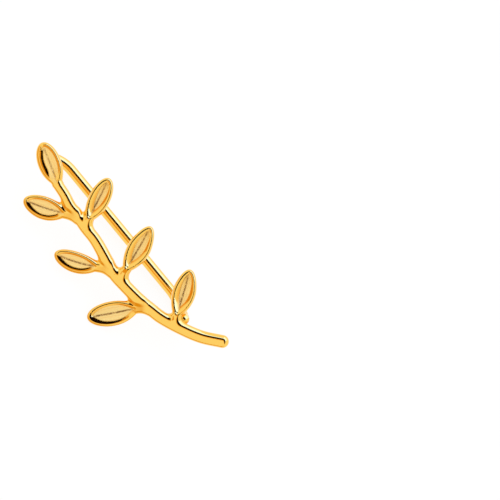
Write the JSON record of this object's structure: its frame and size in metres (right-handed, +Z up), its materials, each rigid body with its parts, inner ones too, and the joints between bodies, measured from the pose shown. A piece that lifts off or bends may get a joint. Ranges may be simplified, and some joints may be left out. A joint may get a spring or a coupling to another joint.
{
  "type": "ear climber earring",
  "caption": "Leaf-sprig ear climber: a polished gold-tone cast stem with cupped leaves and a round ear wire soldered to its back.",
  "frame": {"origin": "middle of the bounding box's underside, on the surface that the jewel rests on, lying on its back", "axes": "+X runs down the sprig towards the round lower end of its stem, +Z is up from the surface, and the leaves' fronts lean towards -Y"},
  "size_m": [0.023, 0.0092, 0.0063],
  "materials": {
    "gold": "gold plated, mirror polished, with satin leaf hollows"
  },
  "bodies": {
    "root": {"ear_climber": "gold"}
  },
  "joints": []
}
